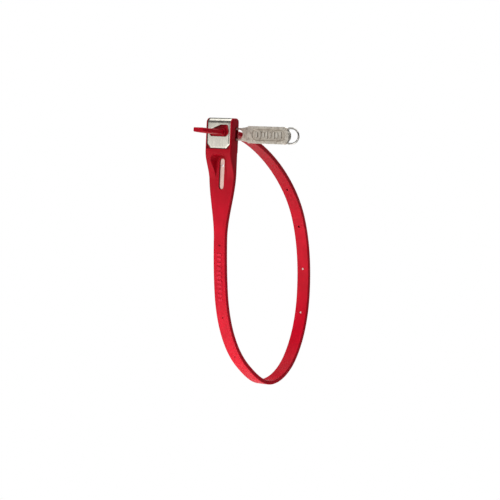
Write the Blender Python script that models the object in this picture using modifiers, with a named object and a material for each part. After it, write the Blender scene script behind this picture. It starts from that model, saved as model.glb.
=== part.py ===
"""Reusable security tie: a red nylon band with a steel core, locked into a loop, and its release key.

The frame is the lock head's own: X across the band, +Y from the face plate towards the inside of the
loop, +Z up. The origin is inside the loop at its top, where the band's inner face leaves the back of
the head. Every size below is in millimetres, and the helpers turn it into metres.
"""

import math

import bmesh
import bpy
from mathutils import Matrix, Vector

MM = 0.001

# Band: an oblong section swept along the loop.
BAND_HALF_WIDTH = 4.6
BAND_THICK = 2.8
BAND_MID = BAND_THICK / 2
BAND_CORNER = 0.55
TIP_HALF_WIDTH = 3.7
TIP_THICK = 2.7
TIP_LENGTH = 5.0

# Route of the band's middle line: (y, z, heading), the heading in degrees from +Y, turning downwards.
TAIL_ROUTE = ((-29.2, 2.1, 2.5), (-9.0, 1.4, 0.0), (0.0, 1.4, 0.0))
LOOP_ROUTE = (
    (0.0, 1.4, 0.0),
    (36.4, -7.4, 25.0),
    (65.5, -26.2, 41.0),
    (86.8, -52.7, 64.0),
    (97.1, -104.4, 91.0),
    (85.2, -145.7, 124.0),
    (59.7, -161.8, 174.0),
    (29.6, -149.6, 216.0),
    (2.2, -101.0, 261.0),
    (-1.4, -45.0, 270.0),
)
STEP_LENGTH = 5.5
STEP_TURN = 5.0

# Taper and wedge: the band widens below the head, and its front climbs to the head's front.
TAPER_HALF_WIDTH = 10.0
TAPER_TOP, TAPER_BOTTOM = -24.0, -66.0
WEDGE_TOP, WEDGE_BOTTOM = -11.0, -29.0
WEDGE_FRONT = -7.85
BAND_END = -9.6

# Head block.
HEAD_HALF_WIDTH = 10.1
HEAD_FRONT, HEAD_BACK = -7.9, 0.3
HEAD_TOP, HEAD_BOTTOM = 10.3, -12.0
FRONT_BEND, BACK_BEND = 3.2, 2.5
SIDE_ROUND = 0.8

# Steel case, bent over the head: face plate, top and a lip at the back.
CASE_HALF_WIDTH = 8.85
CASE_THICK = 0.6
CASE_GAP = 0.15
CASE_FOOT, CASE_LIP = -8.9, 4.2
CASE_CHAMFER = 2.9
WINDOW = ((-7.2, 7.2), (-1.4, 6.0))
WINDOW_CHAMFER = 1.3

# Collar of nylon round the band in the window.
COLLAR_HALF_WIDTH = 5.5
COLLAR_Z = (-1.0, 3.7)
COLLAR_FRONT = -8.2
CHANNEL_GAP = 0.35

# Lock frame: a folded steel U with a tab that the core is riveted to.
FRAME_SHEET = 0.8
FRAME_Y = (-6.3, -1.25)
FRAME_EAR_X = 5.7
FRAME_TOP = 8.3
FRAME_FLOOR_Z = -0.7
TAB_HALF_WIDTH = 3.0
TAB_ROUTE = ((-4.5, -0.6), (-4.5, -3.9), (-2.75, -5.2), (-2.75, -8.9))
CAVITY = ((-6.4, 6.4), (-6.6, -0.9), (-1.3, 9.8))

# Core: a steel ladder strip in the band.
CORE_HALF_WIDTH = 3.1
CORE_THICK = 0.5
CORE_OFFSET = 0.35
CORE_GAP = 0.15
CORE_END = -4.6
LADDER_PITCH = 5.0
LADDER_FIRST = -24.35
LADDER_COUNT = 45
LADDER_SLOT = 2.7
LADDER_HALF_WIDTH = 2.4
RIVET_Z = -7.1
RIVET_RADIUS, RIVET_HEAD = 0.9, 1.65

# Window in the taper that shows the core, and the pin marks left by moulding.
TAPER_SLOT_Z = (-34.8, -15.3)
TAPER_SLOT_HALF = 1.95
RECESS_HALF_WIDTH = 7.3
RECESS_SIDE_LEAN, RECESS_TOP_LEAN = 3.0, 1.0
RECESS_TOP, RECESS_BOTTOM = -12.6, -33.0
RECESS_FLOOR = (-2.6, -2.85)
CORE_HOLE_Z, CORE_HOLE_RADIUS, CORE_HOLE_RELIEF = -19.8, 0.9, 1.6
MARK_RADIUS = 0.6
INNER_MARKS = (83.15, 113.15, 143.15, 173.15)
OUTER_MARKS = (279.4, 309.3, 356.1)

# Pawl, drawn in its lifted position about its own pin.
PAWL_PIN = (-2.4, 6.0)
PAWL_HALF_WIDTH = 4.8
TOOTH_HALF_WIDTH = 2.1
TOOTH_SHOULDER = -1.2
PAWL_HUB = 1.15
PIN_RADIUS, PIN_BORE = 0.6, 0.68
PIN_HALF_LENGTH = 7.6
PAWL_OUTLINE = (
    (-1.5, -1.15),
    (-3.0, -3.0),
    (-3.4, -3.0),
    (-3.7, -0.4),
    (-3.4, 0.7),
    (-1.2, 1.1),
)
SPRING_Y, SPRING_Z = -4.5, (7.6, 9.1)
SPRING_RADIUS, SPRING_WIRE, SPRING_TURNS = 0.9, 0.17, 4

# Key.
KEY_Y = -2.3
KEY_MID_Z = 0.35
FORK_THICK, FOB_THICK = 2.3, 3.0
FORK_TIP, FORK_ROOT = -4.9, 15.6
FORK_GAP, PRONG = 2.8, 1.2
NECK_X = (16.0, 20.4)
FOB_HALF_WIDTH, FOB_CORNER = 5.4, 2.2
FOB_SHOULDER, FOB_END = 48.4, 50.6
FOB_NOSE, FOB_NOSE_RISE = 4.1, 1.9
PANEL_X, PANEL_HALF = (22.6, 48.0), 3.7
PANEL_DEPTH = 0.35
GRIP_BARS, GRIP_BAR_WIDTH, GRIP_BAR_HALF = 8, 1.2, 2.3
RING_PIN_X = 49.3
RING_HALF_HEIGHT = 4.8
RING_WIRE, RING_BORE = 0.6, 0.75
RING_STRAIGHT, RING_REACH = 51.5, 57.05
RING_PIN_DEPTH = 3.4
KEY_CLEARANCE = 0.2

# Finishes: base colour, roughness and metallic share.
RED_NYLON = ((0.43, 0.009, 0.017), 0.42, 0.0)
PLATE_STEEL = ((0.61, 0.58, 0.50), 0.3, 1.0)
CORE_STEEL = ((0.66, 0.60, 0.52), 0.35, 1.0)
LOCK_STEEL = ((0.30, 0.30, 0.29), 0.4, 1.0)
KEY_METAL = ((0.50, 0.47, 0.39), 0.4, 1.0)


# ---------------------------------------------------------------- scene and materials


def clear_scene():
    for obj in list(bpy.data.objects):
        bpy.data.objects.remove(obj, do_unlink=True)


def make_collection(name, hidden=False):
    collection = bpy.data.collections.new(name)
    collection.hide_render = hidden
    bpy.context.scene.collection.children.link(collection)
    return collection


def make_material(name, finish):
    color, roughness, metallic = finish
    material = bpy.data.materials.new(f"{name}_finish")
    material.use_nodes = True
    shader = material.node_tree.nodes["Principled BSDF"]
    shader.inputs["Base Color"].default_value = (*color, 1.0)
    shader.inputs["Roughness"].default_value = roughness
    shader.inputs["Metallic"].default_value = metallic
    material.diffuse_color = (*color, 1.0)
    return material


clear_scene()
PARTS = make_collection("security_tie")
CUTTERS = make_collection("cutters", hidden=True)


# ---------------------------------------------------------------- shapes


def add_object(name, bm, finish=None, smooth_angle=None):
    """An object from a bmesh in millimetres: a part if it has a finish, and a hidden cutter if not."""
    bmesh.ops.recalc_face_normals(bm, faces=bm.faces)
    bmesh.ops.scale(bm, vec=Vector((MM, MM, MM)), verts=bm.verts)
    mesh = bpy.data.meshes.new(name)
    bm.to_mesh(mesh)
    bm.free()
    obj = bpy.data.objects.new(name, mesh)
    if finish:
        mesh.materials.append(make_material(name, finish))
        PARTS.objects.link(obj)
        if smooth_angle:
            mesh.shade_smooth()
            mesh.set_sharp_from_angle(angle=math.radians(smooth_angle))
    else:
        CUTTERS.objects.link(obj)
        obj.hide_render = True
        obj.display_type = "WIRE"
    return obj


def add_box(bm, lo, hi, matrix=None):
    """A box between two corners, in a matrix's own axes when one is given."""
    middle = [(a + b) / 2 for a, b in zip(lo, hi)]
    size = [b - a for a, b in zip(lo, hi)]
    place = Matrix.Translation(middle) @ Matrix.Diagonal((*size, 1.0))
    bmesh.ops.create_cube(bm, size=1.0, matrix=(matrix or Matrix()) @ place)


def box(name, lo, hi):
    bm = bmesh.new()
    add_box(bm, lo, hi)
    return add_object(name, bm)


def add_cylinder(bm, start, end, radius, segments=20):
    start, end = Vector(start), Vector(end)
    turn = (end - start).to_track_quat("Z", "Y").to_matrix().to_4x4()
    place = Matrix.Translation((start + end) / 2) @ turn
    bmesh.ops.create_cone(
        bm, cap_ends=True, segments=segments, radius1=radius, radius2=radius,
        depth=(end - start).length, matrix=place,
    )


def cylinder(name, start, end, radius, finish=None):
    bm = bmesh.new()
    add_cylinder(bm, start, end, radius)
    return add_object(name, bm, finish, 40)


def add_prism(bm, outline, axis, low, high):
    """A flat outline extruded along an axis. Its points are (y, z) on X, (x, z) on Y and (x, y) on Z."""
    place = {
        "X": lambda a, b: (low, a, b),
        "Y": lambda a, b: (a, low, b),
        "Z": lambda a, b: (a, b, low),
    }[axis]
    face = bm.faces.new([bm.verts.new(place(a, b)) for a, b in outline])
    made = bmesh.ops.extrude_face_region(bm, geom=[face])["geom"]
    step = Vector([high - low if letter == axis else 0.0 for letter in "XYZ"])
    moved = [item for item in made if isinstance(item, bmesh.types.BMVert)]
    bmesh.ops.translate(bm, vec=step, verts=moved)
    return moved


def prism(name, outline, axis, low, high, finish=None, smooth_angle=None):
    bm = bmesh.new()
    add_prism(bm, outline, axis, low, high)
    return add_object(name, bm, finish, smooth_angle)


def arc(center, radius, start, end, steps=6):
    """Points on an arc, its angles in degrees, both ends included."""
    angles = [math.radians(start + (end - start) * i / steps) for i in range(steps + 1)]
    return [(center[0] + radius * math.cos(a), center[1] + radius * math.sin(a)) for a in angles]


def strip(route, thick):
    """The outline of a sheet of this thickness whose middle line is the route, with mitred corners."""
    left, right = [], []
    points = [Vector(p) for p in route]
    for i, point in enumerate(points):
        before = (point - points[i - 1]).normalized() if i else None
        after = (points[i + 1] - point).normalized() if i + 1 < len(points) else None
        along = ((before or after) + (after or before)).normalized()
        square = (before or after).dot(along)
        side = Vector((-along.y, along.x)) * (thick / 2 / square)
        left.append(tuple(point + side))
        right.append(tuple(point - side))
    return left + right[::-1]


def chamfered(x_span, z_span, corners):
    """A rectangle whose corners are cut: the cuts in order low-left, low-right, top-right, top-left."""
    (x0, x1), (z0, z1) = x_span, z_span
    a, b, c, d = corners
    return [
        (x0 + a[0], z0), (x1 - b[0], z0), (x1, z0 + b[1]), (x1, z1 - c[1]),
        (x1 - c[0], z1), (x0 + d[0], z1), (x0, z1 - d[1]), (x0, z0 + a[1]),
    ]


def boolean(obj, other, operation="DIFFERENCE"):
    """Cuts or joins the other object, which is drawn in this object's own axes and follows it."""
    other.parent = obj
    modifier = obj.modifiers.new(f"{operation.lower()}_{other.name}", "BOOLEAN")
    modifier.operation = operation
    modifier.object = other
    modifier.solver = "EXACT"


# ---------------------------------------------------------------- the band's route


def heading_vector(degrees):
    angle = math.radians(degrees)
    return Vector((math.cos(angle), -math.sin(angle)))


def curve_between(start, end):
    """Points from one anchor to the next on a curve as round as an arc, without the last point."""
    p0, p3 = Vector(start[:2]), Vector(end[:2])
    turn = end[2] - start[2]
    chord = (p3 - p0).length
    reach = chord / (3 * math.cos(math.radians(turn / 4)) ** 2)
    p1 = p0 + heading_vector(start[2]) * reach
    p2 = p3 - heading_vector(end[2]) * reach
    count = max(1, round(max(abs(turn) / STEP_TURN, chord / STEP_LENGTH)))
    for i in range(count):
        t = i / count
        u = 1 - t
        yield u**3 * p0 + 3 * u * u * t * p1 + 3 * u * t * t * p2 + t**3 * p3


def band_route(top):
    """Middle points of the band from the tail's tip, round the loop and up to a height under the head."""
    anchors = TAIL_ROUTE + LOOP_ROUTE[1:]
    points = [p for a, b in zip(anchors, anchors[1:]) for p in curve_between(a, b)]
    y, z = LOOP_ROUTE[-1][:2]
    count = round((top - z) / 3)
    return points + [Vector((y, z + (top - z) * i / count)) for i in range(count + 1)]


def stations(top):
    """(distance from the head's back, middle point, unit vector along, unit vector outwards)."""
    points = band_route(top)
    lengths = [0.0]
    for a, b in zip(points, points[1:]):
        lengths.append(lengths[-1] + (b - a).length)
    at_head = min(range(len(points)), key=lambda i: (points[i] - Vector(LOOP_ROUTE[0][:2])).length)
    found = []
    for i, point in enumerate(points):
        along = (points[min(i + 1, len(points) - 1)] - points[max(i - 1, 0)]).normalized()
        found.append((lengths[i] - lengths[at_head], point, along, Vector((-along.y, along.x))))
    return found


def place_on_band(where):
    """A matrix at a distance along the band: X across it, Y along it and Z outwards."""
    for (s0, p0, _, _), (s1, p1, _, _) in zip(STATIONS, STATIONS[1:]):
        if s0 <= where <= s1:
            break
    along = (p1 - p0).normalized()
    point = p0 + along * (where - s0)
    columns = ((1, 0, 0), (0, *along), (0, -along.y, along.x))
    turn = Matrix(columns).transposed().to_4x4()
    return Matrix.Translation((0.0, *point)) @ turn


def millimetres(x, y, z):
    return (x * MM, y * MM, z * MM)


def smooth(value, low, high):
    share = min(1.0, max(0.0, (value - low) / (high - low)))
    return share * share * (3 - 2 * share)


def section(half_width, inner, outer, corner):
    """A rounded oblong, as (across, outwards) points."""
    points = []
    for sx, sy, start in ((1, 1, 0), (-1, 1, 90), (-1, -1, 180), (1, -1, 270)):
        center = (sx * (half_width - corner), (outer - corner) if sy > 0 else (inner + corner))
        points += arc(center, corner, start, start + 90, 2)
    return points


def loft(bm, rings):
    """A closed skin through rings of points that match one to one, capped at both ends."""
    loops = [[bm.verts.new(p) for p in ring] for ring in rings]
    count = len(loops[0])
    for a, b in zip(loops, loops[1:]):
        for i in range(count):
            j = (i + 1) % count
            bm.faces.new((a[i], a[j], b[j], b[i]))
    bm.faces.new(loops[0])
    bm.faces.new(loops[-1][::-1])


def on_band(point, outwards, across, out):
    place = point + outwards * out
    return (across, place.x, place.y)


STATIONS = stations(CORE_END)


# ---------------------------------------------------------------- nylon moulding


def band_section(distance, point, under_head):
    """The band's section where it is: its tip, its plain length, or the taper and wedge below the head."""
    if distance < 0:
        share = smooth(distance, STATIONS[0][0], STATIONS[0][0] + TIP_LENGTH)
        half = TIP_HALF_WIDTH + (BAND_HALF_WIDTH - TIP_HALF_WIDTH) * share
        thick = TIP_THICK + (BAND_THICK - TIP_THICK) * share
        return section(half, -thick / 2, thick / 2, BAND_CORNER)
    if not under_head:
        return section(BAND_HALF_WIDTH, -BAND_MID, BAND_MID, BAND_CORNER)
    share = smooth(point.y, TAPER_BOTTOM, TAPER_TOP)
    half = BAND_HALF_WIDTH + (TAPER_HALF_WIDTH - BAND_HALF_WIDTH) * share
    rise = smooth(point.y, WEDGE_BOTTOM, WEDGE_TOP)
    outer = BAND_MID + (-WEDGE_FRONT - BAND_THICK) * rise
    return section(half, -BAND_MID, outer, BAND_CORNER)


def make_band():
    rings = []
    for distance, point, _, outwards in stations(BAND_END):
        under_head = point.x < 20 and distance > 200
        outline = band_section(distance, point, under_head)
        rings.append([on_band(point, outwards, a, o) for a, o in outline])
    bm = bmesh.new()
    loft(bm, rings)
    return add_object("strap_sheath", bm, RED_NYLON, 40)


def head_outline(inset=0.0):
    """The side view of the head, from the foot of its front round the top to the foot of its back."""
    front, back, top = HEAD_FRONT + inset, HEAD_BACK - inset, HEAD_TOP - inset
    bend_front, bend_back = FRONT_BEND - inset, BACK_BEND - inset
    outline = arc((front + bend_front, top - bend_front), bend_front, 180, 90)
    return outline + arc((back - bend_back, top - bend_back), bend_back, 90, 0)


def make_head_block():
    outline = [(HEAD_FRONT, HEAD_BOTTOM)] + head_outline() + [(HEAD_BACK, HEAD_BOTTOM)]
    block = prism("head_block", outline, "X", -HEAD_HALF_WIDTH, HEAD_HALF_WIDTH)
    rounding = block.modifiers.new("side_round", "BEVEL")
    rounding.width = SIDE_ROUND * MM
    rounding.segments = 2
    rounding.limit_method = "ANGLE"
    rounding.angle_limit = math.radians(60)
    boolean(block, make_case_seat())
    boolean(block, make_collar(), "UNION")
    boolean(block, make_head_hollows())
    return block


def make_case_seat():
    """The shallow step that the steel case lies in, from its foot over the top to its lip."""
    depth = CASE_THICK + CASE_GAP
    outer = [(HEAD_FRONT - 1, CASE_FOOT - CASE_GAP)]
    outer += [(HEAD_FRONT - 1, HEAD_TOP + 1), (HEAD_BACK + 1, HEAD_TOP + 1)]
    outer += [(HEAD_BACK + 1, CASE_LIP - CASE_GAP), (HEAD_BACK - depth, CASE_LIP - CASE_GAP)]
    inner = head_outline(depth)[::-1]
    inner += [(HEAD_FRONT + depth, CASE_FOOT - CASE_GAP)]
    half = CASE_HALF_WIDTH + CASE_GAP
    return prism("case_seat_cutter", outer + inner, "X", -half, half)


def make_collar():
    low, high = COLLAR_Z
    radius = (high - low) / 2
    mid = (low + high) / 2
    reach = COLLAR_HALF_WIDTH - radius
    outline = arc((reach, mid), radius, -90, 90, 8) + arc((-reach, mid), radius, 90, 270, 8)
    return prism("collar", outline, "Y", COLLAR_FRONT, HEAD_FRONT + 1.2)


def make_head_hollows():
    """Everything cut through the head block: lock cavity, band channel, key slot and pin bores."""
    bm = bmesh.new()
    spans = CAVITY
    add_box(bm, *zip(*spans))
    cutter = add_object("cavity_cutter", bm)
    gap = CHANNEL_GAP
    channel = box(
        "channel_cutter",
        (-BAND_HALF_WIDTH - gap, HEAD_FRONT - 2, -gap),
        (BAND_HALF_WIDTH + gap, HEAD_BACK + 2, BAND_THICK + gap),
    )
    boolean(cutter, channel, "UNION")
    low, high = key_slot_y()
    fork_low = KEY_MID_Z - FORK_GAP - PRONG - KEY_CLEARANCE
    fork_high = KEY_MID_Z + FORK_GAP + PRONG + KEY_CLEARANCE
    slot = box("key_slot_cutter", (6.0, low, fork_low), (12.0, high, fork_high))
    boolean(cutter, slot, "UNION")
    groove = box(
        "lower_prong_cutter", (FORK_TIP - 0.5, low, fork_low), (7.0, high, CAVITY[2][0] + 0.2)
    )
    boolean(cutter, groove, "UNION")
    reach = PIN_HALF_LENGTH + 0.15
    bore = cylinder(
        "pin_bore_cutter", (-reach, *PAWL_PIN), (reach, *PAWL_PIN), PIN_RADIUS + 0.1
    )
    boolean(cutter, bore, "UNION")
    return cutter


def key_slot_y():
    half = FORK_THICK / 2 + KEY_CLEARANCE
    return KEY_Y - half, KEY_Y + half


def make_recess():
    """The arch-topped pocket below the head: its walls lean out and its floor runs out into the band."""
    reach = RECESS_HALF_WIDTH
    corner = 4.5
    outline = [(-reach, RECESS_BOTTOM), (reach, RECESS_BOTTOM)]
    outline += arc((reach - corner, RECESS_TOP - corner), corner, 0, 90)
    outline += arc((corner - reach, RECESS_TOP - corner), corner, 90, 180)
    bm = bmesh.new()
    floor_verts = add_prism(bm, outline, "Y", HEAD_FRONT - 2, RECESS_FLOOR[0])
    for vert in floor_verts:
        share = (RECESS_TOP - vert.co.z) / (RECESS_TOP - RECESS_BOTTOM)
        vert.co.y = RECESS_FLOOR[0] + (RECESS_FLOOR[1] - RECESS_FLOOR[0]) * share
        vert.co.x *= 1 - RECESS_SIDE_LEAN / reach
        vert.co.z -= RECESS_TOP_LEAN * (1 - share)
    return add_object("recess_cutter", bm)


def make_taper_slot():
    low, high = TAPER_SLOT_Z
    half = TAPER_SLOT_HALF
    outline = arc((0.0, high - half), half, 0, 180, 8) + arc((0.0, low + half), half, 180, 360, 8)
    depth = -BAND_MID - CORE_OFFSET + CORE_THICK / 2
    return prism("taper_slot_cutter", outline, "Y", HEAD_FRONT - 1, depth - 0.2)


def make_core_channel():
    half = CORE_HALF_WIDTH + CORE_GAP
    inner = CORE_OFFSET - CORE_THICK / 2 - CORE_GAP
    outer = CORE_OFFSET + CORE_THICK / 2 + CORE_GAP
    outline = ((-half, inner), (half, inner), (half, outer), (-half, outer))
    rings = [
        [on_band(point, outwards, a, o) for a, o in outline]
        for distance, point, _, outwards in STATIONS
        if distance > STATIONS[0][0] + 1.0
    ]
    bm = bmesh.new()
    loft(bm, rings)
    return add_object("core_channel_cutter", bm)


def make_ladder(name, inner, outer):
    bm = bmesh.new()
    half_length = LADDER_SLOT / 2
    for i in range(LADDER_COUNT):
        place = place_on_band(LADDER_FIRST + i * LADDER_PITCH)
        low = (-LADDER_HALF_WIDTH, -half_length, inner)
        add_box(bm, low, (LADDER_HALF_WIDTH, half_length, outer), place)
    return add_object(name, bm)


def make_marks():
    """Round pin marks that reach the core from the band's inner face, and from its outer face."""
    bm = bmesh.new()
    for marks, start in ((INNER_MARKS, -BAND_MID - 1), (OUTER_MARKS, BAND_MID + 1)):
        for where in marks:
            place = place_on_band(where)
            ends = [place @ Vector((0, 0, height)) for height in (start, CORE_OFFSET)]
            add_cylinder(bm, *ends, MARK_RADIUS, 12)
    low = (0, -BAND_MID - CORE_OFFSET, CORE_HOLE_Z)
    add_cylinder(bm, low, (0, 1.0, CORE_HOLE_Z), CORE_HOLE_RELIEF, 16)
    return add_object("mark_cutter", bm)


def make_anchor_pocket():
    """Room in the moulding for the frame's tab and for the rivet."""
    half = TAB_HALF_WIDTH + CORE_GAP
    route = TAB_ROUTE[:-1] + ((TAB_ROUTE[-1][0], TAB_ROUTE[-1][1] - CORE_GAP),)
    pocket = prism("tab_cutter", strip(route, FRAME_SHEET + 2 * CORE_GAP), "X", -half, half)
    head = RIVET_HEAD + 0.2
    bore = cylinder("rivet_cutter", (0, -4.25, RIVET_Z), (0, -0.6, RIVET_Z), head)
    boolean(pocket, bore, "UNION")
    return pocket


def make_sheath():
    sheath = make_band()
    boolean(sheath, make_head_block(), "UNION")
    boolean(sheath, make_recess())
    boolean(sheath, make_core_channel())
    boolean(sheath, make_anchor_pocket())
    boolean(sheath, make_taper_slot())
    boolean(sheath, make_ladder("pocket_cutter", CORE_OFFSET - 0.1, BAND_MID + 0.5))
    boolean(sheath, make_marks())
    return sheath


# ---------------------------------------------------------------- steel in the band and head


def make_core():
    inner, outer = CORE_OFFSET - CORE_THICK / 2, CORE_OFFSET + CORE_THICK / 2
    half = CORE_HALF_WIDTH
    outline = ((-half, inner), (half, inner), (half, outer), (-half, outer))
    rings = [
        [on_band(point, outwards, a, o) for a, o in outline]
        for distance, point, _, outwards in stations(CORE_END - 2 * CORE_GAP)
        if distance > STATIONS[0][0] + 1.5
    ]
    bm = bmesh.new()
    loft(bm, rings)
    core = add_object("steel_core", bm, CORE_STEEL, 30)
    boolean(core, make_ladder("rung_cutter", inner - 0.3, outer + 0.3))
    holes = bmesh.new()
    add_cylinder(holes, (0, -4, RIVET_Z), (0, 0, RIVET_Z), RIVET_RADIUS + 0.12)
    add_cylinder(holes, (0, -4, CORE_HOLE_Z), (0, 0, CORE_HOLE_Z), CORE_HOLE_RADIUS, 16)
    boolean(core, add_object("core_hole_cutter", holes))
    return core


def make_case():
    half_sheet = CASE_THICK / 2
    middle = head_outline(half_sheet)
    route = [(HEAD_FRONT + half_sheet, CASE_FOOT)] + middle + [(HEAD_BACK - half_sheet, CASE_LIP)]
    outline = strip(route, CASE_THICK)
    case = prism("lock_case", outline, "X", -CASE_HALF_WIDTH, CASE_HALF_WIDTH, PLATE_STEEL, 30)
    cut = WINDOW_CHAMFER
    corners = ((cut, cut), (cut, cut), (0.8, 0.8), (9.0, 3.2))
    window = prism("window_cutter", chamfered(*WINDOW, corners), "Y", HEAD_FRONT - 2, -6.0)
    boolean(case, window)
    for side in (-1, 1):
        edge, foot = side * (CASE_HALF_WIDTH + 0.1), CASE_FOOT - 0.1
        corner = [(edge, foot), (edge - side * CASE_CHAMFER, foot), (edge, foot + CASE_CHAMFER)]
        name = "case_corner_cutter_right" if side > 0 else "case_corner_cutter_left"
        boolean(case, prism(name, corner, "Y", HEAD_FRONT - 2, -6.0))
    return case


def make_frame():
    """Floor and ears in one fold, with the tab below the floor."""
    low, high = FRAME_Y
    fold = (
        (-FRAME_EAR_X, FRAME_TOP), (-FRAME_EAR_X, FRAME_FLOOR_Z),
        (FRAME_EAR_X, FRAME_FLOOR_Z), (FRAME_EAR_X, FRAME_TOP),
    )
    frame = prism("lock_frame", strip(fold, FRAME_SHEET), "Y", low, high, LOCK_STEEL)
    tab = prism("frame_tab", strip(TAB_ROUTE, FRAME_SHEET), "X", -TAB_HALF_WIDTH, TAB_HALF_WIDTH)
    boolean(frame, tab, "UNION")
    holes = bmesh.new()
    add_cylinder(holes, (-8, *PAWL_PIN), (8, *PAWL_PIN), PIN_BORE)
    prong_low = KEY_MID_Z + FORK_GAP - KEY_CLEARANCE
    prong_high = KEY_MID_Z + FORK_GAP + PRONG + KEY_CLEARANCE
    add_box(holes, (4.5, key_slot_y()[0], prong_low), (7.0, 0.0, prong_high))
    add_cylinder(holes, (0, -5, RIVET_Z), (0, -1, RIVET_Z), RIVET_RADIUS + 0.12)
    boolean(frame, add_object("frame_hole_cutter", holes))
    return frame


def make_rivet():
    tab_y = TAB_ROUTE[-1][0]
    core_y = -BAND_MID - CORE_OFFSET
    front = tab_y - FRAME_SHEET / 2 - CORE_GAP
    back = core_y + CORE_THICK / 2 + CORE_GAP
    rivet = cylinder(
        "core_rivet", (0, front - 0.3, RIVET_Z), (0, back + 0.3, RIVET_Z), RIVET_RADIUS, LOCK_STEEL
    )
    heads = bmesh.new()
    add_cylinder(heads, (0, front - 0.6, RIVET_Z), (0, front, RIVET_Z), RIVET_HEAD)
    add_cylinder(heads, (0, back, RIVET_Z), (0, back + 0.5, RIVET_Z), RIVET_HEAD)
    boolean(rivet, add_object("rivet_heads", heads), "UNION")
    return rivet


def make_pawl():
    """The toothed pawl, drawn about its own pin."""
    outline = list(PAWL_OUTLINE) + arc((0.0, 0.0), PAWL_HUB, 110, -90, 10)
    pawl = prism("pawl", outline, "X", -PAWL_HALF_WIDTH, PAWL_HALF_WIDTH, LOCK_STEEL, 30)
    pawl.location = millimetres(0.0, *PAWL_PIN)
    cuts = bmesh.new()
    add_cylinder(cuts, (-5, 0, 0), (5, 0, 0), PIN_BORE)
    for side in (-1, 1):
        inner, outer = sorted((side * TOOTH_HALF_WIDTH, side * 5.0))
        add_box(cuts, (inner, -5.0, -4.0), (outer, -1.2, TOOTH_SHOULDER))
    boolean(pawl, add_object("pawl_cutter", cuts))
    return pawl


def make_pin():
    reach = PIN_HALF_LENGTH
    pin = cylinder("pawl_pin", (-reach, 0, 0), (reach, 0, 0), PIN_RADIUS, LOCK_STEEL)
    pin.location = millimetres(0.0, *PAWL_PIN)
    return pin


def sweep_wire(name, points, radius, finish, sides=2):
    """A round wire along a list of points, in millimetres."""
    data = bpy.data.curves.new(name, "CURVE")
    data.dimensions = "3D"
    data.bevel_depth = radius * MM
    data.bevel_resolution = sides
    data.use_fill_caps = True
    spline = data.splines.new("POLY")
    spline.points.add(len(points) - 1)
    for target, point in zip(spline.points, points):
        target.co = (*millimetres(*point), 1.0)
    data.materials.append(make_material(name, finish))
    obj = bpy.data.objects.new(name, data)
    PARTS.objects.link(obj)
    return obj


def make_spring():
    low, high = SPRING_Z
    count = SPRING_TURNS * 12
    points = []
    for i in range(count + 1):
        angle = 2 * math.pi * SPRING_TURNS * i / count
        x, y = SPRING_RADIUS * math.cos(angle), SPRING_RADIUS * math.sin(angle)
        points.append((x, y, (high - low) * (i / count - 1)))
    spring = sweep_wire("pawl_spring", points, SPRING_WIRE, LOCK_STEEL, 1)
    spring.location = millimetres(0.0, SPRING_Y, high)
    return spring


# ---------------------------------------------------------------- key


def fork_outline():
    """Two prongs and the neck, as (x, height above the key's middle). The upper tip is a wedge."""
    gap, outer = FORK_GAP, FORK_GAP + PRONG
    wedge = 4.4
    upper = [(FORK_TIP, gap), (FORK_TIP, gap + 0.4), (FORK_TIP + wedge, outer)]
    lower = [(FORK_TIP + wedge, -outer), (FORK_TIP, -gap - 0.4), (FORK_TIP, -gap)]
    neck = [(NECK_X[0] - 1.5, outer), (NECK_X[1], FOB_HALF_WIDTH - 0.4), (NECK_X[1] + 3, 4.0)]
    neck += [(x, -z) for x, z in neck[::-1]]
    root = arc((FORK_ROOT - gap, 0.0), gap, -90, 90, 8)
    return upper + neck + lower + root


def fob_outline():
    half, nose = FOB_HALF_WIDTH, FOB_NOSE
    left = NECK_X[1] - 1.2
    radius = (nose**2 + FOB_NOSE_RISE**2) / (2 * FOB_NOSE_RISE)
    swing = math.degrees(math.asin(nose / radius))
    end = arc((FOB_END - radius, 0.0), radius, -swing, swing, 8)
    turn = FOB_CORNER
    corner = arc((FOB_SHOULDER + 0.4 - turn, half - turn), turn, 90, 38, 4)
    top = [(left + 0.8, half)] + corner + [(FOB_SHOULDER, nose)]
    return end + top[::-1] + [(left, half - 0.8)] + [(left, 0.8 - half)] + [(x, -z) for x, z in top]


def make_key():
    """The flat key, drawn about the fork's middle line."""
    fob, fork = FOB_THICK / 2, FORK_THICK / 2
    key = prism("key_body", fob_outline(), "Y", -fob, fob, KEY_METAL, 30)
    key.location = millimetres(0.0, KEY_Y, KEY_MID_Z)
    boolean(key, prism("key_fork", fork_outline(), "Y", -fork, fork), "UNION")
    boolean(key, make_panels())
    bores = bmesh.new()
    depth = RING_HALF_HEIGHT - RING_PIN_DEPTH - 0.3
    for side in (-1, 1):
        mouth, end = side * (FOB_NOSE + 1.0), side * depth
        add_cylinder(bores, (RING_PIN_X, 0, mouth), (RING_PIN_X, 0, end), RING_BORE)
    boolean(key, add_object("ring_bore_cutter", bores))
    return key


def make_panels():
    """The sunk panel on both faces, with plain grip bars left standing in it."""
    radius, face = PANEL_HALF, FOB_THICK / 2
    x0, x1 = PANEL_X[0] + radius, PANEL_X[1] - radius
    outline = arc((x1, 0.0), radius, -90, 90, 8) + arc((x0, 0.0), radius, 90, 270, 8)
    panels = bmesh.new()
    add_prism(panels, outline, "Y", -face - 1, PANEL_DEPTH - face)
    add_prism(panels, outline, "Y", face - PANEL_DEPTH, face + 1)
    cutter = add_object("panel_cutter", panels)
    bars = bmesh.new()
    for i in range(GRIP_BARS):
        middle = x0 + (x1 - x0) * i / (GRIP_BARS - 1)
        low = (middle - GRIP_BAR_WIDTH / 2, -face - 2, -GRIP_BAR_HALF)
        add_box(bars, low, (middle + GRIP_BAR_WIDTH / 2, face + 2, GRIP_BAR_HALF))
    boolean(cutter, add_object("grip_bars", bars))
    return cutter


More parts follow.
